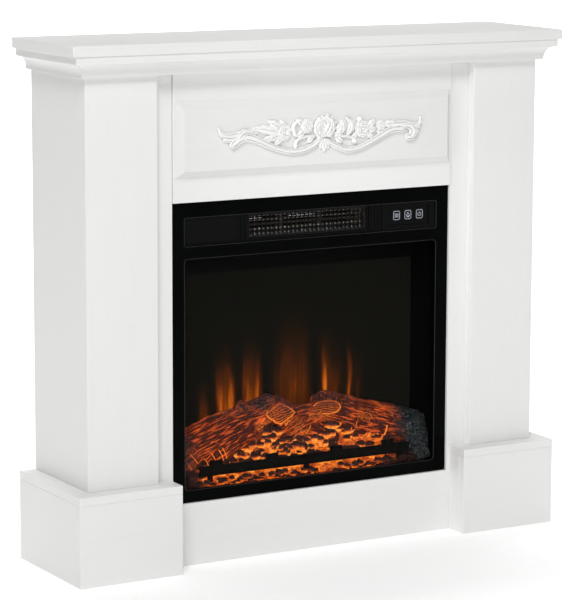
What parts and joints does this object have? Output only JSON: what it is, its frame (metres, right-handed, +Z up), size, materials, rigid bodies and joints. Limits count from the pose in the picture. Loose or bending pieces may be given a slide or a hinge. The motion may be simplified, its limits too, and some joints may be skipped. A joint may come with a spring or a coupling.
{
  "type": "electric fireplace",
  "caption": "Freestanding electric fireplace: a white panelled mantel with a raised frieze around a black log-effect insert with fan heater and push buttons.",
  "frame": {"origin": "on the floor, centred under the whole fireplace", "axes": "+X runs to the right seen from the room, +Y points to the wall, +Z up"},
  "size_m": [0.8, 0.2, 0.75],
  "materials": {
    "white_foil": "satin white foil on board with a very fine grain",
    "raw_board": "raw fibreboard, unfinished and hidden",
    "zinc_steel": "zinc plated",
    "black_trim": "gloss black moulding",
    "black_steel": "matt black powder coat",
    "black_plastic": "fine matt moulded plastic",
    "grille_wire": "dark wire",
    "tinted_glass": "clear polished glass",
    "screen_plastic": "smoked diffusing screen",
    "log_ceramic": "moulded and painted log effect, translucent at the embers",
    "iron_black": "matt black",
    "reflector_metal": "bright reflective strip",
    "circuit_board": "solder-masked circuit board",
    "mica": "mica card with resistance wire"
  },
  "bodies": {
    "cabinet": {"mantel_shelf": "white_foil", "sub_top": "raw_board", "crown_front": "white_foil", "crown_return_left": "white_foil", "crown_return_right": "white_foil", "frieze_board": "white_foil", "raised_panel": "white_foil", "garland_onlay": "white_foil", "stile_left": "white_foil", "stile_right": "white_foil", "kick_board": "white_foil", "column_front_left": "white_foil", "column_front_right": "white_foil", "column_outer_left": "white_foil", "column_outer_right": "white_foil", "column_inner_left": "white_foil", "column_inner_right": "white_foil", "plinth_front_left": "white_foil", "plinth_front_right": "white_foil", "plinth_side_left": "white_foil", "plinth_side_right": "white_foil", "plinth_return_left": "white_foil", "plinth_return_right": "white_foil", "plinth_top_left": "white_foil", "plinth_top_right": "white_foil", "insert_shelf": "raw_board", "corner_blocks": "raw_board", "wall_brackets": "zinc_steel", "screws": "zinc_steel", "front_bezel": "black_trim", "control_fascia": "black_plastic", "outlet_grille": "grille_wire", "control_plate": "black_plastic", "front_glass": "tinted_glass", "casing_back": "black_steel", "casing_left": "black_steel", "casing_right": "black_steel", "casing_top": "black_steel", "casing_bottom": "black_steel", "mounting_brackets": "zinc_steel", "heater_deck": "black_steel", "flame_screen": "screen_plastic", "flame_mask": "reflector_metal", "ember_bed": "log_ceramic", "log_set": "log_ceramic", "grate_bar": "iron_black", "spindle_motor": "zinc_steel", "spindle_bush": "black_plastic", "led_strips": "circuit_board", "blower_housing": "zinc_steel", "blower_motor": "zinc_steel", "heating_element": "mica", "thermal_cutout": "reflector_metal", "control_board": "circuit_board", "cord_gland": "black_plastic"},
    "flame_spindle": {"flame_spindle": "reflector_metal"},
    "blower_wheel": {"blower_wheel": "black_plastic"},
    "heat_button": {"button_heat": "black_plastic"},
    "flame_button": {"button_flame": "black_plastic"},
    "power_button": {"button_power": "black_plastic"}
  },
  "joints": [
    {"name": "blower_spin", "type": "hinge", "parent": "cabinet", "child": "blower_wheel", "pos_m": [0, 0.028, 0.4835], "axis": [1, 0, 0], "continuous": true},
    {"name": "spindle_spin", "type": "hinge", "parent": "cabinet", "child": "flame_spindle", "pos_m": [0, 0.05, 0.15], "axis": [1, 0, 0], "continuous": true},
    {"name": "heat_button_press", "type": "slide", "parent": "cabinet", "child": "heat_button", "axis": [0, 1, 0], "range_m": [0, 0.001], "stiffness_N_per_m": 300},
    {"name": "flame_button_press", "type": "slide", "parent": "cabinet", "child": "flame_button", "axis": [0, 1, 0], "range_m": [0, 0.001], "stiffness_N_per_m": 300},
    {"name": "power_button_press", "type": "slide", "parent": "cabinet", "child": "power_button", "axis": [0, 1, 0], "range_m": [0, 0.001], "stiffness_N_per_m": 300}
  ]
}
